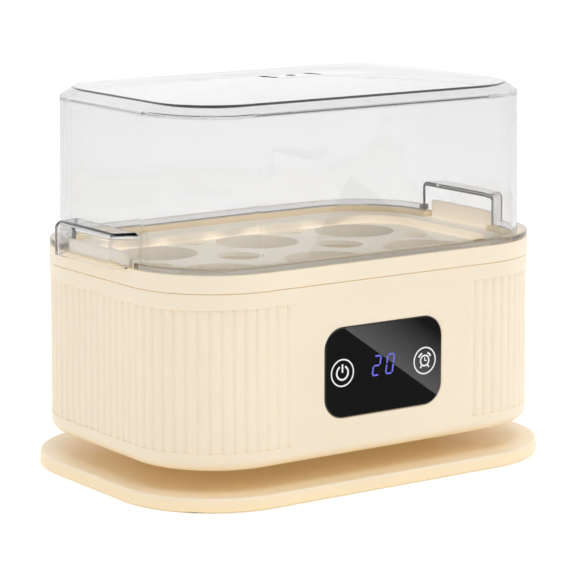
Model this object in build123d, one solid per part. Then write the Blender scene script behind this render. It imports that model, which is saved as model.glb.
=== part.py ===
"""Electric egg cooker: foot plate, ribbed base with a heated water pan, lift-out egg tray, clear cover.

Millimetres. The origin is the centre of the bottom face, +Z is up, the control window faces -Y.
"""
from build123d import *
import os
from math import cos, sin, tan, pi, radians

os.makedirs("parts", exist_ok=True)

# ---- Driving dimensions: outlines are (length along X, width along Y, corner radius) ----
BODY_LENGTH, BODY_WIDTH, BODY_CORNER = 203.0, 139.6, 40.9
PLATE_LENGTH, PLATE_WIDTH, PLATE_CORNER = 214.2, 150.6, 46.4
PLATE_LOW, PLATE_TOP = 0.6, 6.4
NECK_LENGTH, NECK_WIDTH, NECK_CORNER, NECK_WALL = 134.0, 66.0, 16.0, 2.4
BODY_BOTTOM, BODY_TOP = 16.2, 92.1
BODY_EDGE_ROUND = 5.0
WALL = 2.8
FLOOR = 2.4

PANEL_INSET, PANEL_FLARE = 0.15, 0.4
RIB_LOW, RIB_HIGH = 24.2, 85.3
RIB_DEPTH, CREST_DEPTH, RIB_START_SHARE = 0.7, 0.06, 0.28
RIBS_PER_SIDE = 40
PLAIN_HALF = 50.2

RING_LOW, RING_TOP, RING_PROUD = 92.3, 100.0, 0.2
SEAM_CHAMFER = 0.2
TRAY_SEAT_INSET, TRAY_SEAT_Z = 7.1, 95.9
LEDGE_INSET = 11.2
DECK_LOW, DECK_TOP = 86.5, 88.7
PAN_OPENING_INSET = 21.2

PAN_SHEET = 0.8
PAN_FLANGE_TOP, PAN_FLOOR_LOW = 85.5, 70.0
PAN_CLIP_X, PAN_CLIP_Y = 40.0, 56.5

TRAY_LENGTH, TRAY_WIDTH, TRAY_CORNER = 187.0, 123.6, 33.0
TRAY_SHEET = 1.8
TRAY_RIM_TOP, TRAY_FLOOR_TOP = 97.7, 94.3
TRAY_FLOOR_LENGTH, TRAY_FLOOR_WIDTH, TRAY_FLOOR_CORNER = 170.4, 91.6, 22.0
EGG_HOLE_RADIUS, EGG_PITCH_X, EGG_HALF_Y = 18.7, 54.6, 26.8
COLLAR_DEPTH = 7.3
STEAM_HOLE_RADIUS, STEAM_HOLE_X = 10.1, 27.3
END_HOLE_RADIUS, END_HOLE_X = 5.8, 70.4
NOTCH_CENTRE_Y = 45.8
EAR_HALF, EAR_TOP, EAR_OUT, EAR_THICK = 23.9, 105.7, 100.0, 1.8
EAR_ROOM_X, EAR_ROOM_Y = 0.4, 0.5

COVER_WALL = 2.0
FLANGE_TOP = 102.7
COVER_LOW = (194.4, 130.9, 36.7)
COVER_SHOULDER, SHOULDER_Z = (192.4, 128.9, 35.7), 165.7
COVER_RIM, RIM_Z = (179.6, 116.1, 28.1), 169.5
DOME_RISE = 3.4
HANDLE_OUT, HANDLE_LOW, HANDLE_TOP = 108.7, 99.6, 114.4
HANDLE_TIP_HALF, HANDLE_ROOT_HALF, HANDLE_WALL = 23.7, 27.4, 1.8
SHOULDER_ROUND, RIM_ROUND = 1.2, 0.9
RIM_DRAW_SHARE, SHOULDER_DROP_SHARE = 0.28, 0.57
GRIP_GAP = 0.3
FLANGE_NOTCH_HALF = 30.4
VENT_HOLE_RADIUS, VENT_BULGE = 2.2, 1.8
VENT_SLOT_X, VENT_SLOT_LENGTH, VENT_SLOT_WIDTH, VENT_SLOT_TURN = 12.0, 9.8, 2.4, -70.0

WINDOW_LENGTH, WINDOW_HEIGHT, WINDOW_CORNER = 62.6, 39.3, 9.4
WINDOW_X, WINDOW_Z = 0.2, 52.8
WINDOW_THICK, ADHESIVE_THICK, WINDOW_PROUD, POCKET_GAP = 1.65, 0.25, 0.2, 0.2
MOUTH_DEPTH, MOUTH_GAP = 0.3, 0.8
KEY_X = 22.3
FLARE_SLOPE = PANEL_FLARE / (RIB_HIGH - RIB_LOW)
PANEL_Y = -BODY_WIDTH / 2 + PANEL_INSET - FLARE_SLOPE * (RIB_HIGH - WINDOW_Z)
WINDOW_FRONT = PANEL_Y - WINDOW_PROUD
WINDOW_BACK = WINDOW_FRONT + WINDOW_THICK
DISPLAY_BOARD_FRONT, DISPLAY_BOARD_THICK = -59.6, 1.6

GLAND_Z, GLAND_BORE, GLAND_NECK, GLAND_HEAD = 32.0, 3.6, 5.5, 8.0
GLAND_SEAT_Y = BODY_WIDTH / 2 - PANEL_INSET + FLARE_SLOPE * (RIB_HIGH - GLAND_Z + GLAND_HEAD)

BOARD_LOW, BOARD_THICK = 23.6, 1.6
BOARD_TOP = BOARD_LOW + BOARD_THICK

SPREADER_LOW = 67.2
ELEMENT_RADIUS = 3.2
STRAP_X, STRAP_THICK = 28.0, 1.2
STRAP_LOW = SPREADER_LOW - 2 * ELEMENT_RADIUS - STRAP_THICK
STUD_LOW = STRAP_LOW - 4.6
TERMINAL_X, TERMINAL_Y, TERMINAL_LOW = 9.0, -27.0, 41.0
THERMOSTAT_SCREW_X = 19.0

BASE_SCREW_PLACES = [(x, y) for x in (-57.0, 57.0) for y in (-22.0, 22.0)]
FOOT_PLACES = [(x, y) for x in (-88.0, 88.0) for y in (-56.0, 56.0)]
RING_SCREW_PLACES = [(x, y) for x in (-82.1, 82.1) for y in (-50.4, 50.4)]
RING_PILLAR_TOP = 82.0
CLIP_PLACES = [(x, y) for x in (-PAN_CLIP_X, PAN_CLIP_X) for y in (-PAN_CLIP_Y, PAN_CLIP_Y)]
BOARD_SCREW_PLACES = [(x, y) for x in (-44.0, 44.0) for y in (-6.0, 38.0)]
DISPLAY_POST_PLACES = [(x, z) for x in (-26.0, 26.0) for z in (WINDOW_Z - 14.0, WINDOW_Z + 14.0)]


# ---- Shared shapes ----
def slab(size, z_low, z_high):
    """A block with rounded corners in plan, from z_low to z_high."""
    length, width, corner = size
    return Pos(0, 0, z_low) * extrude(RectangleRounded(length, width, corner), z_high - z_low)


def inset(distance):
    """The body's outline drawn in by a distance."""
    return (BODY_LENGTH - 2 * distance, BODY_WIDTH - 2 * distance, BODY_CORNER - distance)


def ring(outer_inset, inner_inset, z_low, z_high):
    """A wall that follows the body's outline between two insets."""
    return slab(inset(outer_inset), z_low, z_high) - slab(inset(inner_inset), z_low, z_high)


def block(x_low, x_high, y_low, y_high, z_low, z_high):
    centre = Pos((x_low + x_high) / 2, (y_low + y_high) / 2, (z_low + z_high) / 2)
    return centre * Box(x_high - x_low, y_high - y_low, z_high - z_low)


def rod(x, y, radius, z_low, z_high):
    return Pos(x, y, (z_low + z_high) / 2) * Cylinder(radius, z_high - z_low)


def rod_y(x, z, radius, y_low, y_high):
    return Pos(x, (y_low + y_high) / 2, z) * Rot(90, 0, 0) * Cylinder(radius, y_high - y_low)


def screw_up(x, y, head_low, head_height, head_radius, shank_radius, tip_z):
    """A screw driven upwards, with a cross recess in its head."""
    shoulder = head_low + head_height
    head = rod(x, y, head_radius, head_low, shoulder)
    head = fillet(head.edges().group_by(Axis.Z)[0], head_height * 0.3)
    shank = rod(x, y, shank_radius, shoulder, tip_z - shank_radius)
    tip = Pos(x, y, tip_z - shank_radius / 2) * Cone(shank_radius, shank_radius * 0.4, shank_radius)
    arm = head_radius * 0.55
    slot = Box(2 * arm, arm * 0.45, head_height * 0.9)
    cross = Pos(x, y, head_low) * (slot + Rot(0, 0, 90) * slot)
    return head + shank + tip - cross


def group(solids):
    """Separate solids kept together in one node."""
    return Compound(children=[s if isinstance(s, Solid) else s.solids()[0] for s in solids])


def tube_along(points, radii, radius):
    """A round lead along straight runs joined by arcs, with its drawn length checked against its volume."""
    path = FilletPolyline(*points, radius=radii)
    start = Plane(origin=path @ 0, z_dir=path % 0)
    lead = sweep(start * Circle(radius), path=path)
    expected = pi * radius ** 2 * path.length
    assert abs(lead.volume - expected) < 0.01 * expected, "lead volume"
    return lead


def save(node, shape):
    export_step(shape, f"parts/{node}.step")


# ---- Foot plate, feet and their screws ----
def make_base_plate():
    plate = slab((PLATE_LENGTH, PLATE_WIDTH, PLATE_CORNER), PLATE_LOW, PLATE_TOP)
    plate = fillet(plate.edges().group_by(Axis.Z)[-1], 1.2)
    plate = fillet(plate.edges().group_by(Axis.Z)[0], 0.8)
    neck_inner = (NECK_LENGTH - 2 * NECK_WALL, NECK_WIDTH - 2 * NECK_WALL, NECK_CORNER - NECK_WALL)
    plate += slab((NECK_LENGTH, NECK_WIDTH, NECK_CORNER), PLATE_TOP - 0.5, BODY_BOTTOM)
    plate -= slab(neck_inner, PLATE_LOW + 2.6, BODY_BOTTOM)
    rib_reach = NECK_WIDTH / 2 - NECK_WALL / 2
    for x in (-35.0, 0.0, 35.0):
        plate += block(x - 0.9, x + 0.9, -rib_reach, rib_reach, PLATE_LOW + 2.5, BODY_BOTTOM - 0.6)
    for x, y in BASE_SCREW_PLACES:
        plate += rod(x, y, 5.0, PLATE_LOW + 2.6, BODY_BOTTOM)
        plate -= rod(x, y, 3.4, PLATE_LOW - 1, 9.0)
        plate -= rod(x, y, 1.7, PLATE_LOW, BODY_BOTTOM + 1)
    for x, y in FOOT_PLACES:
        plate -= rod(x, y, 6.2, PLATE_LOW - 1, 2.6)
    return plate


def make_foot_pads():
    pads = []
    for x, y in FOOT_PLACES:
        pad = rod(x, y, 6.0, 0.0, 2.6)
        pads.append(fillet(pad.edges().group_by(Axis.Z)[0], 0.5))
    return group(pads)


def make_base_screws():
    return group([screw_up(x, y, 6.6, 2.4, 3.0, 1.45, 26.0) for x, y in BASE_SCREW_PLACES])


# ---- Ribbed body ----
def outline_point(travel, depth):
    """Point on the right half of the outline at the panel's top, counted from the front centre along it."""
    half_x, half_y = BODY_LENGTH / 2 - BODY_CORNER, BODY_WIDTH / 2 - BODY_CORNER
    radius = BODY_CORNER - PANEL_INSET
    arc = radius * pi / 2
    reach = radius - depth
    if travel <= half_x:
        return (travel, -half_y - reach)
    travel -= half_x
    if travel <= arc:
        angle = travel / radius
        return (half_x + reach * sin(angle), -half_y - reach * cos(angle))
    travel -= arc
    if travel <= 2 * half_y:
        return (half_x + reach, -half_y + travel)
    travel -= 2 * half_y
    if travel <= arc:
        angle = travel / radius
        return (half_x + reach * cos(angle), half_y + reach * sin(angle))
    return (half_x - (travel - arc), half_y + reach)


def ribbed_outline(outset):
    """Outline with convex ribs round the ends and plain front and rear centres, drawn out by a distance."""
    half_x, half_y = BODY_LENGTH / 2 - BODY_CORNER, BODY_WIDTH / 2 - BODY_CORNER
    half_way_round = 2 * half_x + pi * (BODY_CORNER - PANEL_INSET) + 2 * half_y
    pitch = (half_way_round - 2 * PLAIN_HALF) / RIBS_PER_SIDE
    edges = []
    for side in (1, -1):
        def place(travel, depth):
            x, y = outline_point(travel, depth - outset)
            return (side * x, y)
        for i in range(RIBS_PER_SIDE):
            start = PLAIN_HALF + i * pitch
            valley, next_valley = place(start, RIB_DEPTH), place(start + pitch, RIB_DEPTH)
            crest = place(start + pitch / 2, CREST_DEPTH)
            edges.append(ThreePointArc(valley, crest, next_valley))
        for valley, turn in ((PLAIN_HALF, -1), (half_way_round - PLAIN_HALF, 1)):
            begin = place(valley + turn * pitch / 2, 0)
            shallow = place(valley + turn * pitch / 4, RIB_DEPTH * RIB_START_SHARE)
            edges.append(ThreePointArc(begin, shallow, place(valley, RIB_DEPTH)))
    for travel in (PLAIN_HALF - pitch / 2, half_way_round - PLAIN_HALF + pitch / 2):
        x, y = outline_point(travel, -outset)
        edges.append(Line((-x, y), (x, y)))
    return make_face(Wire.combine(edges)[0])


def make_body_shell():
    lower = slab(inset(PANEL_INSET - PANEL_FLARE), BODY_BOTTOM, RIB_LOW)
    lower = fillet(lower.edges().group_by(Axis.Z)[0], BODY_EDGE_ROUND)
    ribbed = loft(
        [Pos(0, 0, RIB_LOW) * ribbed_outline(PANEL_FLARE), Pos(0, 0, RIB_HIGH) * ribbed_outline(0)],
        ruled=True,
    )
    band = slab(inset(0), RIB_HIGH, BODY_TOP)
    band = chamfer(band.edges().group_by(Axis.Z)[-1], SEAM_CHAMFER)
    cavity = slab(inset(WALL), BODY_BOTTOM + FLOOR, BODY_TOP)
    cavity = fillet(cavity.edges().group_by(Axis.Z)[0], BODY_EDGE_ROUND - 2.0)
    body = lower + ribbed + band - cavity

    floor_top = BODY_BOTTOM + FLOOR
    for x, y in BASE_SCREW_PLACES:
        body += rod(x, y, 4.0, floor_top - 0.5, 28.0)
        body -= rod(x, y, 1.5, BODY_BOTTOM - 1, 26.6)
    for x, y in RING_SCREW_PLACES:
        body += rod(x, y, 4.2, floor_top - 0.5, RING_PILLAR_TOP)
        body -= rod(x, y, 3.2, BODY_BOTTOM - 1, RING_PILLAR_TOP - 4.0)
        body -= rod(x, y, 1.7, BODY_BOTTOM - 1, RING_PILLAR_TOP + 1)
    for x, y in BOARD_SCREW_PLACES:
        body += rod(x, y, 3.0, floor_top - 0.5, BOARD_LOW)
        body -= rod(x, y, 1.2, floor_top, BOARD_LOW + 1)

    front = PANEL_Y
    pocket_floor = WINDOW_BACK + ADHESIVE_THICK
    wall_inner = -BODY_WIDTH / 2 + WALL
    pad_inner = wall_inner + 2.2
    body += block(-37, 37, front + 1.0, pad_inner, WINDOW_Z - 24, WINDOW_Z + 24)
    body -= window_block(POCKET_GAP, front - 1, pocket_floor)
    mouth_inner = Pos(0, front + MOUTH_DEPTH, 0) * window_face(POCKET_GAP)
    mouth_outer = Pos(0, front - MOUTH_DEPTH, 0) * window_face(MOUTH_GAP)
    body -= loft([mouth_inner, mouth_outer], ruled=True)
    body -= block(-12.2, 12.2, front, pad_inner + 1, WINDOW_Z - 7.2, WINDOW_Z + 7.2)
    for x in (-KEY_X, KEY_X):
        body -= rod_y(x, WINDOW_Z, 4.6, front, pad_inner + 1)
    for x, z in DISPLAY_POST_PLACES:
        body += rod_y(x, z, 2.6, pad_inner - 0.5, DISPLAY_BOARD_FRONT)
        body -= rod_y(x, z, 1.0, pad_inner, DISPLAY_BOARD_FRONT + 1)

    body -= rod_y(0, GLAND_Z, GLAND_NECK + 0.1, BODY_WIDTH / 2 - 5, BODY_WIDTH / 2 + 1)
    return body


def window_face(margin):
    """The window's outline in the XZ plane, drawn out by a margin."""
    face = RectangleRounded(WINDOW_LENGTH + 2 * margin, WINDOW_HEIGHT + 2 * margin, WINDOW_CORNER + margin)
    return Pos(WINDOW_X, 0, WINDOW_Z) * Rot(90, 0, 0) * face


def window_block(margin, y_low, y_high):
    """A block with the window's outline, drawn out by a margin."""
    return extrude(Pos(0, y_high, 0) * window_face(margin), y_high - y_low)


# ---- Upper ring with tray seat and pan deck ----
def make_upper_ring():
    outer = slab(inset(-RING_PROUD), RING_LOW, RING_TOP)
    outer = fillet(outer.edges().group_by(Axis.Z)[-1], 0.6)
    outer = chamfer(outer.edges().group_by(Axis.Z)[0], SEAM_CHAMFER)
    body = outer - slab(inset(LEDGE_INSET), RING_LOW, RING_TOP)
    body -= slab(inset(TRAY_SEAT_INSET), TRAY_SEAT_Z, RING_TOP)
    for side in (-1, 1):
        ends = sorted((side * (BODY_LENGTH / 2 - TRAY_SEAT_INSET - 1), side * (EAR_OUT + EAR_ROOM_X)))
        reach = EAR_HALF + EAR_ROOM_Y
        body -= block(ends[0], ends[1], -reach, reach, TRAY_SEAT_Z, RING_TOP + 1)
    body += ring(WALL + 0.2, WALL + 2.2, RING_LOW - 5.0, RING_LOW + 0.5)
    body += ring(LEDGE_INSET - 2.2, LEDGE_INSET, DECK_LOW, RING_LOW + 0.5)
    body += ring(LEDGE_INSET - 0.5, PAN_OPENING_INSET, DECK_LOW, DECK_TOP)
    for x, y in RING_SCREW_PLACES:
        body += rod(x, y, 3.8, RING_PILLAR_TOP, RING_LOW + 0.5)
        body -= rod(x, y, 1.3, RING_PILLAR_TOP - 1, RING_LOW - 1.0)
    for x, y in CLIP_PLACES:
        body += rod(x, y, 3.2, PAN_FLANGE_TOP - PAN_SHEET, DECK_LOW + 0.5)
        body -= rod(x, y, 1.3, PAN_FLANGE_TOP - PAN_SHEET - 1, DECK_TOP - 0.7)
    return body


def make_ring_screws():
    head_low, tip = RING_PILLAR_TOP - 6.2, 90.5
    return group([screw_up(x, y, head_low, 2.2, 2.9, 1.25, tip) for x, y in RING_SCREW_PLACES])


# ---- Water pan and how it is held ----
def make_water_pan():
    well_outer = slab(inset(PAN_OPENING_INSET + 2.2), PAN_FLOOR_LOW, PAN_FLANGE_TOP)
    well_outer = fillet(well_outer.edges().group_by(Axis.Z)[0], 4.0)
    well_inner = slab(inset(PAN_OPENING_INSET + 2.2 + PAN_SHEET), PAN_FLOOR_LOW + PAN_SHEET, PAN_FLANGE_TOP)
    well_inner = fillet(well_inner.edges().group_by(Axis.Z)[0], 4.0 - PAN_SHEET)
    flange = slab(inset(PAN_OPENING_INSET - 4.0), PAN_FLANGE_TOP - PAN_SHEET, PAN_FLANGE_TOP)
    pan = well_outer + flange - well_inner
    for x in (-STRAP_X, STRAP_X):
        pan += rod(x, 0, 1.9, STUD_LOW, PAN_FLOOR_LOW + 0.3)
    return pan


def make_pan_seal():
    return ring(PAN_OPENING_INSET - 3.4, PAN_OPENING_INSET - 0.4, PAN_FLANGE_TOP, DECK_LOW)


def make_pan_clips():
    low = PAN_FLANGE_TOP - PAN_SHEET - 1.2
    clips = []
    for x, y in CLIP_PLACES:
        inner, outer = abs(y) - 6.0, abs(y) + 3.2
        ends = (inner, outer) if y > 0 else (-outer, -inner)
        clip = block(x - 6, x + 6, ends[0], ends[1], low, low + 1.2)
        clips.append(clip - rod(x, y, 1.4, low - 1, low + 2))
    return group(clips)


def make_pan_screws():
    low = PAN_FLANGE_TOP - PAN_SHEET - 1.2
    return group([screw_up(x, y, low - 1.8, 1.8, 2.7, 1.25, DECK_TOP - 0.9) for x, y in CLIP_PLACES])


# ---- Heater under the pan ----
def make_heat_spreader():
    spreader = slab((124.0, 68.0, 20.0), SPREADER_LOW, PAN_FLOOR_LOW)
    for x in (-STRAP_X, STRAP_X):
        spreader -= rod(x, 0, 2.2, SPREADER_LOW - 1, PAN_FLOOR_LOW + 1)
    for x in (-THERMOSTAT_SCREW_X, THERMOSTAT_SCREW_X):
        spreader -= rod(x, 0, 1.3, SPREADER_LOW - 1, PAN_FLOOR_LOW - 0.4)
    spreader -= rod(0, 20.5, 1.1, SPREADER_LOW - 1, PAN_FLOOR_LOW - 0.4)
    return spreader


def make_heater_element():
    z = SPREADER_LOW - ELEMENT_RADIUS
    points = [
        (-TERMINAL_X, TERMINAL_Y, 50.0),
        (-TERMINAL_X, TERMINAL_Y, z),
        (-48.0, TERMINAL_Y, z),
        (-48.0, -TERMINAL_Y, z),
        (48.0, -TERMINAL_Y, z),
        (48.0, TERMINAL_Y, z),
        (TERMINAL_X, TERMINAL_Y, z),
        (TERMINAL_X, TERMINAL_Y, 50.0),
    ]
    return tube_along(points, [8, 18, 18, 18, 18, 8], ELEMENT_RADIUS)


def make_heater_terminals():
    ends = []
    for x in (-TERMINAL_X, TERMINAL_X):
        bead = rod(x, TERMINAL_Y, 2.6, 48.0, 50.0)
        blade = block(x - 3.15, x + 3.15, TERMINAL_Y - 0.4, TERMINAL_Y + 0.4, TERMINAL_LOW, 48.0)
        ends.append(bead + blade)
    return group(ends)


def make_heater_straps():
    straps = []
    for x in (-STRAP_X, STRAP_X):
        strap = block(x - 7, x + 7, -33, 33, STRAP_LOW, STRAP_LOW + STRAP_THICK)
        straps.append(strap - rod(x, 0, 2.2, STRAP_LOW - 1, STRAP_LOW + 3))
    return group(straps)


def make_heater_nuts():
    nuts = []
    for x in (-STRAP_X, STRAP_X):
        nut = Pos(x, 0, STRAP_LOW - 3.2) * extrude(RegularPolygon(4.0, 6), 3.2)
        nuts.append(nut - rod(x, 0, 1.95, STRAP_LOW - 4, STRAP_LOW + 1))
    return group(nuts)


def make_thermostat():
    cap = fillet(rod(0, 0, 8.0, 62.6, SPREADER_LOW).edges().group_by(Axis.Z)[-1], 0.5)
    body = rod(0, 0, 7.2, 55.0, 62.6)
    tabs = [block(s * 4.0 - 2.4, s * 4.0 + 2.4, -14.0, -5.0, 55.0, 55.8) for s in (-1, 1)]
    return cap + body + tabs[0] + tabs[1]


def make_thermostat_bracket():
    low = 61.8
    bridge = rod(0, 0, 9.6, low, low + 0.8) + block(-15.6, 15.6, -4, 4, low, low + 0.8)
    bridge -= rod(0, 0, 7.3, low - 1, low + 2)
    for side in (-1, 1):
        leg = sorted((side * 14.8, side * 15.6))
        foot = sorted((side * 14.8, side * 23.0))
        bridge += block(leg[0], leg[1], -4, 4, low, SPREADER_LOW)
        bridge += block(foot[0], foot[1], -4, 4, SPREADER_LOW - 0.8, SPREADER_LOW)
        bridge -= rod(side * THERMOSTAT_SCREW_X, 0, 1.5, SPREADER_LOW - 2, SPREADER_LOW + 1)
    return bridge


def make_thermostat_screws():
    low = SPREADER_LOW - 0.8 - 1.8
    places = (-THERMOSTAT_SCREW_X, THERMOSTAT_SCREW_X)
    return group([screw_up(x, 0, low, 1.8, 2.6, 1.2, 69.4) for x in places])


def make_thermal_fuse():
    z = SPREADER_LOW - 2.0
    case = Pos(0, 14.5, z) * Rot(0, 90, 0) * Cylinder(1.9, 11.0)
    case = fillet(case.edges(), 0.4)
    pins = Pos(0, 14.5, z) * Rot(0, 90, 0) * Cylinder(0.5, 17.0)
    return case + pins


def make_fuse_clip():
    z = SPREADER_LOW - 2.0
    hoop = Pos(0, 14.5, z) * Rot(0, 90, 0) * (Cylinder(2.7, 5.0) - Cylinder(2.0, 5.0))
    hoop -= block(-4, 4, 10, 19, z + 0.6, z + 4)
    foot = block(-2.5, 2.5, 16.6, 23.2, SPREADER_LOW - 0.8, SPREADER_LOW)
    foot += block(-2.5, 2.5, 16.6, 17.3, z - 0.2, SPREADER_LOW)
    foot -= rod(0, 20.5, 1.2, SPREADER_LOW - 2, SPREADER_LOW + 1)
    return hoop + foot


def make_fuse_screw():
    return screw_up(0, 20.5, SPREADER_LOW - 0.8 - 1.6, 1.6, 2.2, 1.0, 69.4)


# ---- Power board on the body's floor ----
def make_power_board():
    board = block(-50, 50, -12, 44, BOARD_LOW, BOARD_TOP)
    board = fillet(board.edges().filter_by(Axis.Z), 2.0)
    for x, y in BOARD_SCREW_PLACES:
        board -= rod(x, y, 1.5, BOARD_LOW - 1, BOARD_TOP + 1)
    return board


def make_board_screws():
    screws = []
    for x, y in BOARD_SCREW_PLACES:
        upright = screw_up(0, 0, 0, 1.8, 2.6, 1.15, 7.6)
        screws.append(Pos(x, y, BOARD_TOP + 1.8) * Rot(180, 0, 0) * upright)
    return group(screws)


def make_relay():
    case = block(14, 33, 22, 37.5, BOARD_TOP, BOARD_TOP + 15.3)
    return fillet(case.edges().filter_by(Axis.Z) + case.edges().group_by(Axis.Z)[-1], 0.6)


def make_transformer():
    core = block(-34, -10, 6, 12, BOARD_TOP, BOARD_TOP + 18)
    coil = Pos(-22, 15, BOARD_TOP + 9.5) * Rot(90, 0, 0) * Cylinder(8.4, 15.0)
    far_core = block(-34, -10, 18, 24, BOARD_TOP, BOARD_TOP + 18)
    return core + coil + far_core


def make_capacitors():
    film = fillet(block(10, 28, 4, 12, BOARD_TOP, BOARD_TOP + 14).edges(), 0.6)
    cans = []
    for x, y, radius, height in ((-38.0, 28.0, 4.0, 12.0), (36.0, 8.0, 3.2, 11.0)):
        can = rod(x, y, radius, BOARD_TOP, BOARD_TOP + height)
        cans.append(fillet(can.edges().group_by(Axis.Z)[-1], 0.6))
    return group([film] + cans)


def make_terminal_block():
    low = BOARD_TOP
    case = block(-11, 11, 34, 43, low, low + 11)
    for x in (-6.0, 0.0, 6.0):
        case -= rod(x, 38.0, 1.7, low + 8.0, low + 12)
        case -= rod_y(x, low + 4.0, 1.8, 37.0, 44.0)
    return case


def make_buzzer():
    case = fillet(rod(40, 24, 5.0, BOARD_TOP, BOARD_TOP + 8).edges().group_by(Axis.Z)[-1], 0.5)
    return case - rod(40, 24, 1.0, BOARD_TOP + 6, BOARD_TOP + 9)


# ---- Control window and display ----
def make_display_window():
    window = window_block(0, WINDOW_FRONT, WINDOW_BACK)
    return fillet(window.edges().group_by(Axis.Y)[0], 0.35)


def make_window_adhesive():
    tape = window_block(-0.6, WINDOW_BACK, WINDOW_BACK + ADHESIVE_THICK)
    tape -= block(-12.6, 12.6, WINDOW_BACK - 1, WINDOW_BACK + 1, WINDOW_Z - 7.6, WINDOW_Z + 7.6)
    for x in (-KEY_X, KEY_X):
        tape -= rod_y(x, WINDOW_Z, 5.0, WINDOW_BACK - 1, WINDOW_BACK + 1)
    return tape


def make_display_board():
    back = DISPLAY_BOARD_FRONT + DISPLAY_BOARD_THICK
    board = block(-31, 31, DISPLAY_BOARD_FRONT, back, WINDOW_Z - 18, WINDOW_Z + 18)
    for x, z in DISPLAY_POST_PLACES:
        board -= rod_y(x, z, 1.3, DISPLAY_BOARD_FRONT - 1, back + 1)
    return board


def make_digit_display():
    case = block(-11.5, 11.5, WINDOW_BACK + 0.35, DISPLAY_BOARD_FRONT, WINDOW_Z - 6.6, WINDOW_Z + 6.6)
    return fillet(case.edges().filter_by(Axis.Y), 0.4)


def make_touch_springs():
    wire = 0.35
    length = DISPLAY_BOARD_FRONT - WINDOW_BACK - 2 * wire - 0.1
    springs = []
    for x in (-KEY_X, KEY_X):
        helix = Helix(pitch=length / 4, height=length, radius=3.0)
        coil = sweep(Plane(origin=helix @ 0, z_dir=helix % 0) * Circle(wire), path=helix)
        springs.append(Pos(x, DISPLAY_BOARD_FRONT - wire - 0.05, WINDOW_Z) * Rot(90, 0, 0) * coil)
    return group(springs)


def make_display_screws():
    screws = []
    back = DISPLAY_BOARD_FRONT + DISPLAY_BOARD_THICK
    for x, z in DISPLAY_POST_PLACES:
        upright = screw_up(0, 0, 0, 1.4, 2.1, 0.95, 6.0)
        screws.append(Pos(x, back + 1.4, z) * Rot(90, 0, 0) * upright)
    return group(screws)


# ---- Cord entry at the rear ----
def make_cord_gland():
    inside = BODY_WIDTH / 2 - WALL
    outside = GLAND_SEAT_Y
    head = rod_y(0, GLAND_Z, GLAND_HEAD, outside, outside + 2.2)
    head = fillet(head.edges().group_by(Axis.Y)[-1], 0.8)
    neck = rod_y(0, GLAND_Z, GLAND_NECK, inside, outside)
    tail = rod_y(0, GLAND_Z, GLAND_HEAD - 0.8, inside - 2.4, inside)
    return head + neck + tail - rod_y(0, GLAND_Z, GLAND_BORE, inside - 4, outside + 4)


# ---- Leads inside the body ----
def make_heater_leads():
    left = [
        (-TERMINAL_X, TERMINAL_Y, TERMINAL_LOW),
        (-TERMINAL_X, TERMINAL_Y, 34.5),
        (-11.0, -20.0, 31.0),
        (-14.0, -11.0, 32.0),
        (-15.0, -4.5, BOARD_TOP),
    ]
    right = [(-x, y, z) for x, y, z in left]
    return group([tube_along(points, lead_radii(points), 1.1) for points in (left, right)])


def make_thermostat_leads():
    left = [
        (-4.0, -14.0, 55.4),
        (-4.4, -19.0, 54.0),
        (-14.0, -18.0, 44.0),
        (-28.0, -10.0, 37.0),
        (-36.0, -3.0, BOARD_TOP),
    ]
    right = [(-x, y, z) for x, y, z in left]
    return group([tube_along(points, lead_radii(points), 0.9) for points in (left, right)])


def lead_radii(points):
    """The largest arcs that the runs leave room for."""
    radii = []
    for before, corner, after in zip(points, points[1:], points[2:]):
        incoming = Vector(*corner) - Vector(*before)
        outgoing = Vector(*after) - Vector(*corner)
        turn = radians(incoming.get_angle(outgoing))
        radii.append(0.45 * min(incoming.length, outgoing.length) / tan(turn / 2))
    return radii


def make_display_ribbon():
    back = DISPLAY_BOARD_FRONT + DISPLAY_BOARD_THICK
    points = [
        (0, back, WINDOW_Z - 8.0),
        (0, back + 12.0, WINDOW_Z - 10.0),
        (0, back + 34.0, 38.0),
        (0, -13.0, 28.4),
        (0, -8.0, BOARD_TOP),
    ]
    path = FilletPolyline(*points, radius=lead_radii(points))
    start = Plane(origin=path @ 0, x_dir=(1, 0, 0), z_dir=path % 0)
    return sweep(start * Rectangle(12.0, 0.8), path=path)


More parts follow.
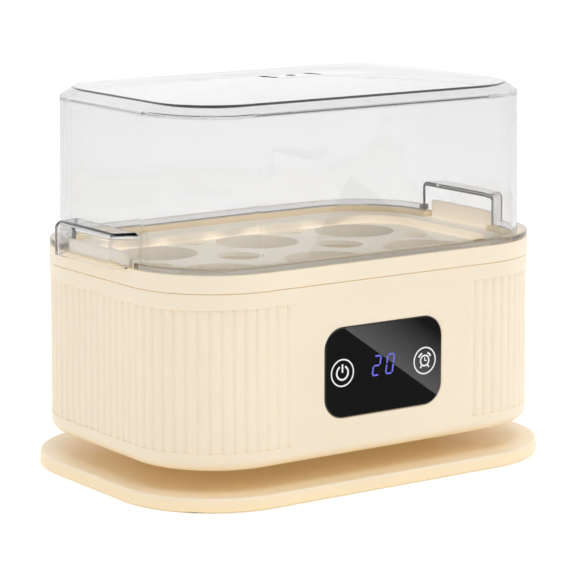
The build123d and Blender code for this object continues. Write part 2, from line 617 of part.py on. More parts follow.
# ---- Egg tray ----
def make_egg_tray():
    rim = slab((TRAY_LENGTH, TRAY_WIDTH, TRAY_CORNER), TRAY_RIM_TOP - TRAY_SHEET, TRAY_RIM_TOP)
    floor_size = (TRAY_FLOOR_LENGTH, TRAY_FLOOR_WIDTH, TRAY_FLOOR_CORNER)
    pan_size = tuple(v + g for v, g in zip(floor_size, (2 * TRAY_SHEET, 2 * TRAY_SHEET, TRAY_SHEET)))
    tray = rim + slab(pan_size, TRAY_FLOOR_TOP - TRAY_SHEET, TRAY_RIM_TOP)
    tray -= slab(floor_size, TRAY_FLOOR_TOP, TRAY_RIM_TOP)
    egg_places = [(x, y) for x in (-EGG_PITCH_X, 0, EGG_PITCH_X) for y in (-EGG_HALF_Y, EGG_HALF_Y)]
    low = TRAY_FLOOR_TOP - COLLAR_DEPTH
    for x, y in egg_places:
        tray += rod(x, y, EGG_HOLE_RADIUS + 1.5, low, TRAY_FLOOR_TOP - 0.2)
    holes = [rod(x, y, EGG_HOLE_RADIUS, low - 1, TRAY_RIM_TOP) for x, y in egg_places]
    holes += [rod(x, 0, STEAM_HOLE_RADIUS, low, TRAY_RIM_TOP) for x in (-STEAM_HOLE_X, STEAM_HOLE_X)]
    holes += [rod(x, 0, END_HOLE_RADIUS, low, TRAY_RIM_TOP) for x in (-END_HOLE_X, END_HOLE_X)]
    for side in (-1, 1):
        for x in (-STEAM_HOLE_X, STEAM_HOLE_X):
            notch = rod(x, side * NOTCH_CENTRE_Y, STEAM_HOLE_RADIUS, low, TRAY_RIM_TOP - 0.5)
            edge = TRAY_FLOOR_WIDTH / 2
            y_range = (0, edge - 0.2) if side > 0 else (-edge + 0.2, 0)
            holes.append(notch & block(x - 20, x + 20, y_range[0], y_range[1], low - 1, TRAY_RIM_TOP))
    for hole in holes:
        tray -= hole
    tab_low = TRAY_RIM_TOP - TRAY_SHEET
    for side in (-1, 1):
        tab_ends = sorted((side * (TRAY_LENGTH / 2 - 2), side * EAR_OUT))
        tray += block(tab_ends[0], tab_ends[1], -EAR_HALF, EAR_HALF, tab_low, TRAY_RIM_TOP)
        ear_ends = sorted((side * (EAR_OUT - EAR_THICK), side * EAR_OUT))
        ear = block(ear_ends[0], ear_ends[1], -EAR_HALF, EAR_HALF, TRAY_RIM_TOP - 1.0, EAR_TOP)
        ear = fillet(ear.edges().filter_by(Axis.X).group_by(Axis.Z)[-1], 1.2)
        tray += fillet(ear.edges().filter_by(Axis.Y).group_by(Axis.Z)[-1], 0.5)
    return tray


# ---- Clear cover ----
def dome(size, z_rim, rise, z_low):
    """A flat-sided plug closed by a shallow dome whose level lines are scaled outlines."""
    length, width, corner = size
    sections = []
    for scale in (1.0, 0.85, 0.7, 0.5, 0.3, 0.12):
        z = z_rim + rise * (1 - scale ** 2)
        sections.append(Pos(0, 0, z) * RectangleRounded(length * scale, width * scale, corner * scale))
    return loft(sections) + slab(size, z_low, z_rim)


def cover_form(draw_in, z_low):
    """The cover's outer form, or its hollow when drawn in by the wall's thickness."""
    def section(size, amount, z):
        outline = RectangleRounded(size[0] - 2 * amount, size[1] - 2 * amount, size[2] - amount)
        return Pos(0, 0, z) * outline
    z_shoulder = SHOULDER_Z - SHOULDER_DROP_SHARE * draw_in
    z_rim = RIM_Z - draw_in
    rim_draw = RIM_DRAW_SHARE * draw_in
    shoulder = section(COVER_SHOULDER, draw_in, z_shoulder)
    wall = loft([section(COVER_LOW, draw_in, z_low), shoulder], ruled=True)
    bevel = loft([shoulder, section(COVER_RIM, rim_draw, z_rim)], ruled=True)
    rim = (COVER_RIM[0] - 2 * rim_draw, COVER_RIM[1] - 2 * rim_draw, COVER_RIM[2] - rim_draw)
    form = wall + bevel + dome(rim, z_rim, DOME_RISE, z_rim - 1.0)
    form = fillet(edges_at(form, z_shoulder), SHOULDER_ROUND)
    return fillet(edges_at(form, z_rim), RIM_ROUND)


def edges_at(shape, z):
    """The edges that lie at a height."""
    level = []
    for edge in shape.edges():
        box = edge.bounding_box()
        if abs(box.min.Z - z) < 0.01 and abs(box.max.Z - z) < 0.01:
            level.append(edge)
    return level


def handle_block(side, draw_in, z_low, z_high):
    """A grip bulging from the end wall, slightly narrower at its outer face."""
    tip, root = HANDLE_TIP_HALF - draw_in, HANDLE_ROOT_HALF - draw_in
    x_tip, x_root = HANDLE_OUT - draw_in, 90.0
    spread = root + (root - tip) * (97.2 - x_root) / (HANDLE_OUT - 97.2)
    plan = Polyline((x_root, -spread), (x_tip, -tip), (x_tip, tip), (x_root, spread), (x_root, -spread))
    grip = Pos(0, 0, z_low) * extrude(make_face(plan), z_high - z_low)
    grip = fillet(grip.edges().filter_by(Axis.Z).group_by(Axis.X)[-1], max(2.2 - draw_in / 2, 0.8))
    top_edges = grip.edges().group_by(Axis.Z)[-1].sort_by(Axis.X)[1:]
    grip = fillet(top_edges, 3.2 - draw_in)
    return grip if side > 0 else grip.mirror(Plane.YZ)


def make_clear_cover():
    cover = cover_form(0, FLANGE_TOP - 1.0)
    flange = slab(inset(0), RING_TOP, FLANGE_TOP)
    flange = fillet(flange.edges().group_by(Axis.Z)[-1] + flange.edges().group_by(Axis.Z)[0], 0.6)
    for side in (-1, 1):
        ends = sorted((side * 97.3, side * 110.0))
        flange -= block(ends[0], ends[1], -FLANGE_NOTCH_HALF, FLANGE_NOTCH_HALF, 90, FLANGE_TOP + 1)
    cover += flange
    for side in (-1, 1):
        grip = handle_block(side, 0, HANDLE_LOW, HANDLE_TOP)
        ends = sorted((side * 80.0, side * (BODY_LENGTH / 2 + RING_PROUD + GRIP_GAP)))
        cover += grip - block(ends[0], ends[1], -40, 40, 90, RING_TOP)
    cover -= cover_form(COVER_WALL, RING_TOP - 3.0)
    for side in (-1, 1):
        cover -= handle_block(side, HANDLE_WALL, HANDLE_LOW - 2.0, HANDLE_TOP - HANDLE_WALL)
    top = RIM_Z + DOME_RISE
    cover -= rod(0, 0, VENT_HOLE_RADIUS, top - 6, top + 2)
    for x in (-VENT_SLOT_X, VENT_SLOT_X):
        bulge = Pos(-VENT_SLOT_LENGTH / 6, 0) * Circle(VENT_BULGE)
        keyhole = SlotOverall(VENT_SLOT_LENGTH, VENT_SLOT_WIDTH) + bulge
        cover -= Pos(x, 0, top - 6) * Rot(0, 0, VENT_SLOT_TURN) * extrude(keyhole, 8)
    return cover


PIECES = {
    "base_plate": make_base_plate,
    "foot_pads": make_foot_pads,
    "base_screws": make_base_screws,
    "body_shell": make_body_shell,
    "upper_ring": make_upper_ring,
    "ring_screws": make_ring_screws,
    "water_pan": make_water_pan,
    "pan_seal": make_pan_seal,
    "pan_clips": make_pan_clips,
    "pan_screws": make_pan_screws,
    "heat_spreader": make_heat_spreader,
    "heater_element": make_heater_element,
    "heater_terminals": make_heater_terminals,
    "heater_straps": make_heater_straps,
    "heater_nuts": make_heater_nuts,
    "thermostat": make_thermostat,
    "thermostat_bracket": make_thermostat_bracket,
    "thermostat_screws": make_thermostat_screws,
    "thermal_fuse": make_thermal_fuse,
    "fuse_clip": make_fuse_clip,
    "fuse_screw": make_fuse_screw,
    "power_board": make_power_board,
    "board_screws": make_board_screws,
    "relay": make_relay,
    "transformer": make_transformer,
    "capacitors": make_capacitors,
    "terminal_block": make_terminal_block,
    "buzzer": make_buzzer,
    "display_window": make_display_window,
    "window_adhesive": make_window_adhesive,
    "display_board": make_display_board,
    "digit_display": make_digit_display,
    "touch_springs": make_touch_springs,
    "display_screws": make_display_screws,
    "cord_gland": make_cord_gland,
    "heater_leads": make_heater_leads,
    "thermostat_leads": make_thermostat_leads,
    "display_ribbon": make_display_ribbon,
    "egg_tray": make_egg_tray,
    "clear_cover": make_clear_cover,
}

for node, make in PIECES.items():
    save(node, make())
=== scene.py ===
"""Looks for the electric egg cooker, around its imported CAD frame. Metres, +Z up, window at -Y."""
import bpy
from math import cos, sin, radians
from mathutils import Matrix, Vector


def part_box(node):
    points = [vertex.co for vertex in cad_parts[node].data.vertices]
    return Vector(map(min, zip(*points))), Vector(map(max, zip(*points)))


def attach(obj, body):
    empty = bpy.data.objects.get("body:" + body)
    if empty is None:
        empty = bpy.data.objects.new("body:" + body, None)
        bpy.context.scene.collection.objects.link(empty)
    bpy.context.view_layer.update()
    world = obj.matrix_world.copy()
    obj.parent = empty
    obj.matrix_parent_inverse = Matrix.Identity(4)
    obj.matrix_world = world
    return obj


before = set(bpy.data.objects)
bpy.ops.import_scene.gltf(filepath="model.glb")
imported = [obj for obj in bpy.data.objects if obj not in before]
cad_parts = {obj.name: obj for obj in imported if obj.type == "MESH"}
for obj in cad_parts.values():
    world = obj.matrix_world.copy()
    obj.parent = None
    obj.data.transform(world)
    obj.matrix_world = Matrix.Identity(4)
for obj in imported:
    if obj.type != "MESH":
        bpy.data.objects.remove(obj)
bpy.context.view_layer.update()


# ---- Colour ----
def srgb(red, green, blue):
    """Linear colour from 0-255 screen values."""
    def channel(value):
        value /= 255
        return value / 12.92 if value <= 0.04045 else ((value + 0.055) / 1.055) ** 2.4
    return (channel(red), channel(green), channel(blue), 1.0)


def shade(colour, factor):
    return (colour[0] * factor, colour[1] * factor, colour[2] * factor, 1.0)


# ---- Material building blocks ----
def set_range(node, *numbers):
    """Fills a Map Range node: from low, from high, to low, to high."""
    for key, number in zip(("From Min", "From Max", "To Min", "To Max"), numbers):
        node.inputs[key].default_value = number


class Graph:
    """A material's node tree with short calls for the nodes used here."""

    def __init__(self, name):
        self.material = bpy.data.materials.new(name)
        self.material.use_nodes = True
        self.tree = self.material.node_tree
        self.tree.nodes.clear()
        self.output = self.add("ShaderNodeOutputMaterial")
        self.place = self.add("ShaderNodeTexCoord").outputs["Object"]

    def add(self, kind, **values):
        node = self.tree.nodes.new(kind)
        for key, value in values.items():
            setattr(node, key, value)
        return node

    def link(self, source, target):
        self.tree.links.new(source, target)

    def stretched(self, scale):
        node = self.add("ShaderNodeMapping")
        node.inputs["Scale"].default_value = scale
        self.link(self.place, node.inputs["Vector"])
        return node.outputs[0]

    def noise(self, scale, detail=4.0, roughness=0.55, vector=None):
        node = self.add("ShaderNodeTexNoise")
        node.inputs["Scale"].default_value = scale
        node.inputs["Detail"].default_value = detail
        node.inputs["Roughness"].default_value = roughness
        self.link(self.place if vector is None else vector, node.inputs["Vector"])
        return node.outputs["Fac"]

    def spread(self, value, low, high, to_low, to_high):
        """Maps a value from one range to another and keeps it inside."""
        node = self.add("ShaderNodeMapRange")
        set_range(node, low, high, to_low, to_high)
        self.link(value, node.inputs["Value"])
        return node.outputs["Result"]

    def colours(self, value, first, second):
        node = self.add("ShaderNodeMix", data_type="RGBA")
        node.inputs[6].default_value = first
        node.inputs[7].default_value = second
        self.link(value, node.inputs[0])
        return node.outputs[2]

    def over(self, value, below, colour):
        """A colour laid over a colour socket where value is high."""
        node = self.add("ShaderNodeMix", data_type="RGBA")
        self.link(value, node.inputs[0])
        self.link(below, node.inputs[6])
        node.inputs[7].default_value = colour
        return node.outputs[2]

    def worn_edges(self, strength):
        """High on outer edges, broken up by noise."""
        sharp = self.add("ShaderNodeNewGeometry").outputs["Pointiness"]
        edge = self.spread(sharp, 0.52, 0.62, 0.0, strength)
        patch = self.spread(self.noise(220.0), 0.35, 0.65, 0.3, 1.0)
        node = self.add("ShaderNodeMath", operation="MULTIPLY")
        self.link(edge, node.inputs[0])
        self.link(patch, node.inputs[1])
        return node.outputs[0]

    def bump(self, height, depth, strength=1.0, normal=None):
        node = self.add("ShaderNodeBump")
        node.inputs["Strength"].default_value = strength
        node.inputs["Distance"].default_value = depth
        self.link(height, node.inputs["Height"])
        if normal is not None:
            self.link(normal, node.inputs["Normal"])
        return node.outputs[0]

    def principled(self, **sockets):
        """Plain numbers go on the sockets, and sockets from other nodes are linked."""
        node = self.add("ShaderNodeBsdfPrincipled")
        for key, value in sockets.items():
            socket = node.inputs[key.replace("_", " ")]
            if isinstance(value, bpy.types.NodeSocket):
                self.link(value, socket)
            else:
                socket.default_value = value
        return node.outputs[0]

    def finish(self, shader):
        self.link(shader, self.output.inputs["Surface"])
        return self.material


def moulded(name, colour, roughness, grain=0.000012, tint=0.97, wear=0.25):
    """Moulded plastic: faint flow tint, fine spark texture, slightly polished edges."""
    graph = Graph(name)
    flow = graph.spread(graph.noise(14.0, 3.0), 0.35, 0.65, 0.0, 1.0)
    base = graph.colours(flow, shade(colour, tint), colour)
    base = graph.over(graph.worn_edges(wear), base, shade(colour, 1.06))
    rough = graph.spread(graph.noise(60.0, 5.0), 0.3, 0.7, roughness * 0.88, roughness * 1.12)
    normal = graph.bump(graph.noise(2600.0, 2.0), grain)
    return graph.finish(graph.principled(Base_Color=base, Roughness=rough, Normal=normal, IOR=1.5))


# How far the ambient occlusion looks for the gaps that get painted shade and painted glow.
GAP_REACH = 0.03


def cream(name, colour, painted_gap_colour, roughness, glow, own_gaps):
    """Cream moulded plastic. Narrow gaps get a painted warm shade and a painted glow, in place of
    light scattered through the plastic.

    own_gaps counts only gaps within one piece, so that a cover over the piece doesn't darken it.
    """
    graph = Graph(name)
    flow = graph.spread(graph.noise(14.0, 3.0), 0.35, 0.65, 0.0, 1.0)
    base = graph.colours(flow, shade(colour, 0.975), colour)
    base = graph.over(graph.worn_edges(0.25), base, shade(colour, 1.05))
    gap_occlusion = graph.add("ShaderNodeAmbientOcclusion", samples=6, only_local=own_gaps)
    gap_occlusion.inputs["Distance"].default_value = GAP_REACH
    # Painted shade: where the ambient occlusion finds a narrow gap, the base colour turns to the
    # warm painted gap colour.
    base = graph.over(graph.spread(gap_occlusion.outputs["AO"], 0.25, 0.85, 1.0, 0.0), base, painted_gap_colour)
    # Painted glow: the same gaps emit the painted gap colour, in place of light scattered through
    # the plastic.
    painted_glow = graph.spread(gap_occlusion.outputs["AO"], 0.2, 0.98 if own_gaps else 0.8, glow, 0.0)
    rough = graph.spread(graph.noise(60.0, 5.0), 0.3, 0.7, roughness * 0.88, roughness * 1.12)
    normal = graph.bump(graph.noise(2600.0, 2.0), 0.000012)
    return graph.finish(graph.principled(
        Base_Color=base, Roughness=rough, Normal=normal, IOR=1.5,
        Subsurface_Weight=0.25, Subsurface_Radius=(1.0, 0.6, 0.3), Subsurface_Scale=0.002,
        Emission_Color=painted_gap_colour, Emission_Strength=painted_glow,
    ))


def rubber(name, colour, roughness=0.75):
    graph = Graph(name)
    dust = graph.spread(graph.noise(90.0, 6.0), 0.4, 0.7, 0.0, 1.0)
    base = graph.colours(dust, colour, shade(colour, 1.5))
    rough = graph.spread(graph.noise(300.0), 0.3, 0.7, roughness - 0.08, roughness + 0.1)
    normal = graph.bump(graph.noise(1500.0, 3.0), 0.00003)
    return graph.finish(graph.principled(Base_Color=base, Roughness=rough, Normal=normal, IOR=1.5))


def metal(name, colour, roughness, stretch=(1.0, 1.0, 1.0), scratch=0.000008, tarnish=0.85):
    """Metal with a brushed or rolled grain along the short side of stretch."""
    graph = Graph(name)
    lay = graph.stretched(stretch)
    grain = graph.noise(500.0, 4.0, 0.6, lay)
    age = graph.spread(graph.noise(45.0, 5.0), 0.35, 0.7, 0.0, 1.0)
    base = graph.colours(age, colour, shade(colour, tarnish))
    base = graph.over(graph.worn_edges(0.5), base, shade(colour, 1.15))
    rough = graph.spread(grain, 0.3, 0.7, roughness * 0.75, roughness * 1.3)
    normal = graph.bump(grain, scratch)
    return graph.finish(graph.principled(
        Base_Color=base, Metallic=1.0, Roughness=rough, Normal=normal
    ))


def lamp_friendly(graph, shader, tint):
    """Lets light from lamps pass straight through glass."""
    path = graph.add("ShaderNodeLightPath")
    through = graph.add("ShaderNodeBsdfTransparent")
    through.inputs["Color"].default_value = tint
    mix = graph.add("ShaderNodeMixShader")
    graph.link(path.outputs["Is Shadow Ray"], mix.inputs[0])
    graph.link(shader, mix.inputs[1])
    graph.link(through.outputs[0], mix.inputs[2])
    return mix.outputs[0]


CAST_COLOUR, CAST_DENSITY = (0.02, 0.01, 0.0, 1.0), 64.0


def clear(name):
    """Clear moulded plastic: flow ripples, and a grey cast that deepens along a wall."""
    graph = Graph(name)
    ripple = graph.bump(graph.noise(9.0, 1.0, 0.4, graph.stretched((1.0, 1.0, 0.35))), 0.0004, 0.35)
    rough = graph.spread(graph.noise(70.0, 5.0), 0.45, 0.75, 0.0, 0.035)
    tint = graph.colours(graph.noise(20.0, 2.0), srgb(252, 252, 252), srgb(254, 254, 254))
    glass = graph.principled(
        Base_Color=tint, Roughness=rough, Normal=ripple, IOR=1.49, Transmission_Weight=1.0
    )
    cast = graph.add("ShaderNodeVolumeAbsorption")
    cast.inputs["Color"].default_value = CAST_COLOUR
    cast.inputs["Density"].default_value = CAST_DENSITY
    graph.link(cast.outputs[0], graph.output.inputs["Volume"])
    return graph.finish(lamp_friendly(graph, glass, srgb(250, 250, 250)))


def polished_black(name):
    """Black glass-like plastic with faint smears."""
    graph = Graph(name)
    base = graph.colours(graph.noise(30.0, 3.0), srgb(22, 22, 22), srgb(25, 25, 25))
    rough = graph.spread(graph.noise(40.0, 5.0), 0.4, 0.8, 0.015, 0.05)
    normal = graph.bump(graph.noise(900.0, 2.0), 0.0000005)
    return graph.finish(graph.principled(Base_Color=base, Roughness=rough, Normal=normal, IOR=1.5))


def lit(name, colour, glow):
    """A lit segment, slightly uneven along its length."""
    graph = Graph(name)
    uneven = graph.spread(graph.noise(900.0, 2.0), 0.3, 0.7, 0.0, 1.0)
    light = graph.colours(uneven, shade(colour, 0.8), shade(colour, 1.15))
    return graph.finish(graph.principled(
        Base_Color=shade(colour, 0.2), Roughness=0.4, Emission_Color=light, Emission_Strength=glow
    ))


CREAM = srgb(230, 217, 195)
# Painted gap colours: the warm painted shade and painted glow that cream() puts in narrow gaps.
CREAM_PAINTED_GAP = srgb(236, 212, 166)
TRAY, TRAY_PAINTED_GAP = srgb(240, 230, 214), srgb(242, 229, 207)
# The fifth cream() number is how strongly the gaps glow with painted light; the tray's is high so
# that its egg holes look lit.
MATERIALS = {
    "cream_plastic": cream("cream_plastic", CREAM, CREAM_PAINTED_GAP, 0.38, 0.075, False),
    "clear_plastic": clear("clear_plastic"),
    "tray_plastic": cream("tray_plastic", TRAY, TRAY_PAINTED_GAP, 0.42, 0.46, True),
    "window_black": polished_black("window_black"),
    "foot_rubber": rubber("foot_rubber", srgb(62, 60, 58)),
    "gland_rubber": rubber("gland_rubber", srgb(206, 194, 170), 0.6),
    "seal_silicone": rubber("seal_silicone", srgb(190, 186, 180), 0.5),
    "pan_steel": metal("pan_steel", srgb(214, 213, 211), 0.3, (1.0, 0.05, 1.0), 0.000003, 0.93),
    "clip_steel": metal("clip_steel", srgb(176, 178, 182), 0.32),
    "screw_steel": metal("screw_steel", srgb(168, 170, 174), 0.3),
    "spreader_aluminium": metal("spreader_aluminium", srgb(200, 201, 204), 0.38, (0.08, 1.0, 1.0)),
    "element_steel": metal("element_steel", srgb(120, 112, 104), 0.45, tarnish=0.6),
    "terminal_brass": metal("terminal_brass", srgb(205, 174, 104), 0.3),
    "thermostat_body": moulded("thermostat_body", srgb(52, 38, 30), 0.4),
    "fuse_metal": metal("fuse_metal", srgb(190, 188, 184), 0.3),
    "board_laminate": moulded("board_laminate", srgb(36, 92, 58), 0.35, 0.00004),
    "component_blue": moulded("component_blue", srgb(34, 82, 150), 0.4),
    "component_yellow": moulded("component_yellow", srgb(214, 176, 60), 0.4),
    "component_green": moulded("component_green", srgb(58, 128, 76), 0.42),
    "component_black": moulded("component_black", srgb(30, 30, 32), 0.45),
    "digit_module": moulded("digit_module", srgb(44, 44, 50), 0.4),
    "spring_steel": metal("spring_steel", srgb(190, 192, 196), 0.22),
    "adhesive_tape": rubber("adhesive_tape", srgb(40, 40, 42), 0.7),
    "lead_red": rubber("lead_red", srgb(150, 34, 30), 0.5),
    "lead_white": rubber("lead_white", srgb(215, 212, 204), 0.5),
    "ribbon_grey": rubber("ribbon_grey", srgb(160, 162, 166), 0.5),
}
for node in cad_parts.values():
    for material_slot in node.material_slots:
        slot_name = material_slot.material.name.split(".")[0]
        material_slot.material = MATERIALS[slot_name]


# ---- Marks on the control window ----
WINDOW_LOW, WINDOW_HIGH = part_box("display_window")
MARK_BACK, MARK_FRONT = WINDOW_LOW[1] + 0.00005, WINDOW_LOW[1] - 0.00008
MARK_Z = 0.0528
RING_RADIUS, POWER_ARC, CLOCK_RADIUS = 0.0058, 0.003, 0.0023
RING_STROKE, MAIN_STROKE, THIN_STROKE, HAND_STROKE = 0.00062, 0.0008, 0.0007, 0.0005


def strip(verts, faces, points, width, closed=False):
    """Adds a thin raised line of a given width through points in the window's plane."""
    count = len(points)
    first = len(verts)
    for i, (x, z) in enumerate(points):
        before = points[i - 1] if closed or i > 0 else points[i]
        after = points[(i + 1) % count] if closed or i < count - 1 else points[i]
        along = Vector((after[0] - before[0], after[1] - before[1])).normalized()
        across = Vector((-along.y, along.x)) * width / 2
        for side in (1, -1):
            for y in (MARK_BACK, MARK_FRONT):
                verts.append((x + side * across.x, y, z + side * across.y))
    for i in range(count if closed else count - 1):
        a = first + 4 * i
        b = first + 4 * ((i + 1) % count)
        faces += [
            (a + 1, a + 3, b + 3, b + 1), (a, b, b + 2, a + 2),
            (a, a + 1, b + 1, b), (a + 2, b + 2, b + 3, a + 3),
        ]
    if not closed:
        last = first + 4 * (count - 1)
        faces += [(first, first + 2, first + 3, first + 1), (last, last + 1, last + 3, last + 2)]


def arc(centre, radius, start, end, steps):
    """Points along an arc, angles in degrees from +X towards +Z."""
    return [
        (centre[0] + radius * cos(radians(start + (end - start) * i / steps)),
         centre[1] + radius * sin(radians(start + (end - start) * i / steps)))
        for i in range(steps + 1)
    ]


def mark(name, material, lines):
    verts, faces = [], []
    for points, width, closed in lines:
        strip(verts, faces, points, width, closed)
    mesh = bpy.data.meshes.new(name)
    mesh.from_pydata(verts, [], faces)
    mesh.materials.append(material)
    made = bpy.data.objects.new(name, mesh)
    bpy.context.scene.collection.objects.link(made)
    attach(made, "base")


def moved(points, centre):
    return [(centre[0] + x / 1000, centre[1] + z / 1000) for x, z in points]


PRINT_WHITE = moulded("print_white", srgb(226, 226, 228), 0.5, 0.000002)
DIGIT_BLUE = lit("digit_blue", (0.13, 0.13, 0.66, 1.0), 1.0)

POWER_AT = (-0.0222, MARK_Z)
ALARM_AT = (0.0222, MARK_Z)
mark("power_mark", PRINT_WHITE, [
    (arc(POWER_AT, RING_RADIUS, 0, 360, 48)[:-1], RING_STROKE, True),
    (arc(POWER_AT, POWER_ARC, 118, 422, 30), MAIN_STROKE, False),
    (moved([(0, 0.1), (0, 3.7)], POWER_AT), MAIN_STROKE, False),
])
mark("alarm_mark", PRINT_WHITE, [
    (arc(ALARM_AT, RING_RADIUS, 0, 360, 48)[:-1], RING_STROKE, True),
    (arc(ALARM_AT, CLOCK_RADIUS, 0, 360, 32)[:-1], THIN_STROKE, True),
    (moved([(0, 1.4), (0, 0), (1.1, 0)], ALARM_AT), HAND_STROKE, False),
    (moved([(-3.2, 1.7), (-2.6, 2.6), (-1.5, 3.4)], ALARM_AT), MAIN_STROKE, False),
    (moved([(3.2, 1.7), (2.6, 2.6), (1.5, 3.4)], ALARM_AT), MAIN_STROKE, False),
    (moved([(-1.6, -2.1), (-2.4, -3.1)], ALARM_AT), THIN_STROKE, False),
    (moved([(1.6, -2.1), (2.4, -3.1)], ALARM_AT), THIN_STROKE, False),
])

DIGIT_WIDTH, DIGIT_HEIGHT, DIGIT_SLANT, DIGIT_GAP = 3.5, 8.4, 0.15, 0.35
CORNERS = {
    "low_left": (0, 0), "low_right": (DIGIT_WIDTH, 0),
    "mid_left": (0, DIGIT_HEIGHT / 2), "mid_right": (DIGIT_WIDTH, DIGIT_HEIGHT / 2),
    "high_left": (0, DIGIT_HEIGHT), "high_right": (DIGIT_WIDTH, DIGIT_HEIGHT),
}
TWO = [("high_left", "high_right"), ("high_right", "mid_right"), ("mid_right", "mid_left"),
       ("mid_left", "low_left"), ("low_left", "low_right")]
ZERO = [("high_left", "high_right"), ("high_right", "mid_right"), ("mid_right", "low_right"),
        ("low_right", "low_left"), ("low_left", "mid_left"), ("mid_left", "high_left")]


def digit(segments, place):
    """Slanted seven-segment strokes with small gaps between them."""
    lines = []
    for start, end in segments:
        a, b = Vector(CORNERS[start]), Vector(CORNERS[end])
        step = (b - a).normalized() * DIGIT_GAP
        ends = [a + step, b - step]
        slanted = [(p.x + DIGIT_SLANT * p.y, p.y) for p in ends]
        lines.append((moved(slanted, place), THIN_STROKE, False))
    return lines


TENS_AT, UNITS_AT = (-0.0063, 0.0496), (0.0009, 0.0496)
mark("lit_digits", DIGIT_BLUE, digit(TWO, TENS_AT) + digit(ZERO, UNITS_AT))


# ---- Stage, light and camera ----
WHITE = (1.0, 1.0, 1.0, 1.0)
FLOOR_HALF, FLOOR_GLOW = 6.0, 0.22


def stage_floor():
    mesh = bpy.data.meshes.new("floor")
    mesh.from_pydata([
        (-FLOOR_HALF, -FLOOR_HALF, 0), (FLOOR_HALF, -FLOOR_HALF, 0),
        (FLOOR_HALF, FLOOR_HALF, 0), (-FLOOR_HALF, FLOOR_HALF, 0),
    ], [], [(0, 1, 2, 3)])
    floor = bpy.data.objects.new("floor", mesh)
    bpy.context.scene.collection.objects.link(floor)
    graph = Graph("floor_white")
    base = graph.colours(graph.noise(3.0, 2.0), (0.9, 0.9, 0.9, 1.0), (0.92, 0.92, 0.92, 1.0))
    floor.data.materials.append(graph.finish(graph.principled(
        Base_Color=base, Roughness=0.9, Emission_Color=WHITE, Emission_Strength=FLOOR_GLOW
    )))


stage_floor()


def soft_light(name, place, aim, size, power):
    data = bpy.data.lights.new(name, "AREA")
    data.shape = "RECTANGLE"
    data.size, data.size_y = size
    data.energy = power
    light = bpy.data.objects.new(name, data)
    bpy.context.scene.collection.objects.link(light)
    light.location = place
    light.rotation_euler = (Vector(aim) - Vector(place)).to_track_quat("-Z", "Y").to_euler()


CENTRE = (0.0, 0.0, 0.09)
soft_light("front_softbox", (1.0, -1.9, 1.2), CENTRE, (1.0, 1.0), 8.0)
soft_light("left_softbox", (-2.1, 0.4, 1.0), CENTRE, (0.8, 1.0), 5.0)
soft_light("top_softbox", (-0.3, -1.1, 2.2), CENTRE, (1.4, 1.0), 17.0)

world = bpy.data.worlds.new("studio")
bpy.context.scene.world = world
world.use_nodes = True
sky = world.node_tree.nodes["Background"]
sky.inputs["Color"].default_value = WHITE


def studio_strength(tree):
    """A studio's brightness by direction, different for mirrored and for transmitted light.

    The backdrop is white and the side opposite it dimmer, more so in mirrored light. Light that
    comes through the clear plastic meets a dark ceiling, which draws its edges.
    """
    direction = tree.nodes.new("ShaderNodeTexCoord").outputs["Generated"]
    path = tree.nodes.new("ShaderNodeLightPath").outputs

    def sweep(axis, low, high, to_low, to_high):
        way = tree.nodes.new("ShaderNodeVectorMath")
        way.operation = "DOT_PRODUCT"
        tree.links.new(direction, way.inputs[0])
        way.inputs[1].default_value = axis
        span = tree.nodes.new("ShaderNodeMapRange")
        set_range(span, low, high, to_low, to_high)
        tree.links.new(way.outputs["Value"], span.inputs["Value"])
        return span.outputs["Result"]

    def pick(switch, value, strength):
        chosen = tree.nodes.new("ShaderNodeMix")
        tree.links.new(switch, chosen.inputs["Factor"])
        tree.links.new(value, chosen.inputs["A"])
        if isinstance(strength, float):
            chosen.inputs["B"].default_value = strength
        else:
            tree.links.new(strength, chosen.inputs["B"])
        return chosen.outputs["Result"]

    backdrop, up = (0.574, 0.819, 0.0), (0.0, 0.0, 1.0)
    strength = sweep(backdrop, -0.6, 0.3, 0.62, 1.0)
    strength = pick(path["Is Glossy Ray"], strength, sweep(backdrop, -0.15, 0.35, 0.1, 1.22))
    strength = pick(path["Is Transmission Ray"], strength, sweep(up, 0.35, 0.85, 1.0, 0.03))
    return pick(path["Is Camera Ray"], strength, 1.0)


world.node_tree.links.new(studio_strength(world.node_tree), sky.inputs["Strength"])

EYE = Vector((-0.6818, -0.9695, 0.2958))
TARGET = Vector((-0.00092, 0.00065, 0.0767))
camera_data = bpy.data.cameras.new("camera")
camera_data.lens = 167.1
camera_data.sensor_width = 36.0
camera = bpy.data.objects.new("camera", camera_data)
bpy.context.scene.collection.objects.link(camera)
camera.location = EYE
camera.rotation_euler = (TARGET - EYE).to_track_quat("-Z", "Y").to_euler()
bpy.context.scene.camera = camera


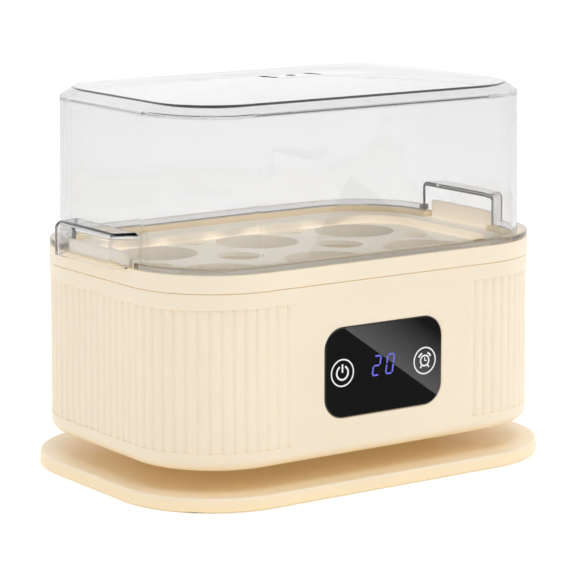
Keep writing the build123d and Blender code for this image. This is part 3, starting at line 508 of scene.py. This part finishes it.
# ---- Cards mirrored in the control window ----
# From the camera's place the window mirrors black below a diagonal, and above it a brightness
# that fades upwards. From other places it mirrors the studio.
CARD_AWAY, CARD_OVERHANG, CARD_FADE, CARD_GLOW = 0.1, 0.03, 0.023, 2.0
CARD_ABOVE, CARD_BELOW = 0.06, 0.07
EDGE_START, EDGE_END = Vector((-0.0222, 0.0728)), Vector((0.0293, 0.0365))
EDGE_ALONG = (EDGE_END - EDGE_START).normalized()
EDGE_ACROSS = Vector((-EDGE_ALONG.y, EDGE_ALONG.x))


def mirrored(point):
    """Where the line of sight, mirrored at a window point, meets the cards' plane."""
    window_y = WINDOW_LOW[1]
    eye = Vector((EYE.x, 2 * window_y - EYE.y, EYE.z))
    place = Vector((point.x, window_y, point.y))
    return place + (place - eye) * CARD_AWAY / (eye.y - window_y)


def card(name, near, far, shader_of):
    """A quad along the diagonal, between two distances from it, seen only by glossy light."""
    start, end = EDGE_START - EDGE_ALONG * CARD_OVERHANG, EDGE_END + EDGE_ALONG * CARD_OVERHANG
    corners = [start + EDGE_ACROSS * near, end + EDGE_ACROSS * near,
               end + EDGE_ACROSS * far, start + EDGE_ACROSS * far]
    mesh = bpy.data.meshes.new(name)
    mesh.from_pydata([mirrored(corner) for corner in corners], [], [(0, 1, 2, 3)])
    made = bpy.data.objects.new(name, mesh)
    bpy.context.scene.collection.objects.link(made)
    graph = Graph(name)
    mesh.materials.append(graph.finish(shader_of(graph)))
    made.visible_camera = False
    made.visible_diffuse = False
    made.visible_transmission = False
    made.visible_shadow = False


def fading(graph):
    across = graph.add("ShaderNodeVectorMath", operation="DOT_PRODUCT")
    graph.link(graph.place, across.inputs[0])
    across.inputs[1].default_value = (EDGE_ACROSS.x, 0.0, EDGE_ACROSS.y)
    near, far = mirrored(EDGE_START), mirrored(EDGE_START + EDGE_ACROSS * CARD_FADE)
    flat = Vector((EDGE_ACROSS.x, 0.0, EDGE_ACROSS.y))
    glow = graph.spread(across.outputs["Value"], near.dot(flat), far.dot(flat), CARD_GLOW, 0.0)
    shader = graph.add("ShaderNodeEmission")
    graph.link(glow, shader.inputs["Strength"])
    return shader.outputs[0]


def unlit(graph):
    shader = graph.add("ShaderNodeBsdfDiffuse")
    shader.inputs["Color"].default_value = (0.0, 0.0, 0.0, 1.0)
    return shader.outputs[0]


card("bright_card", 0.0, CARD_ABOVE, fading)
card("dark_card", -CARD_BELOW, 0.0, unlit)

bpy.context.scene.view_settings.view_transform = "Standard"
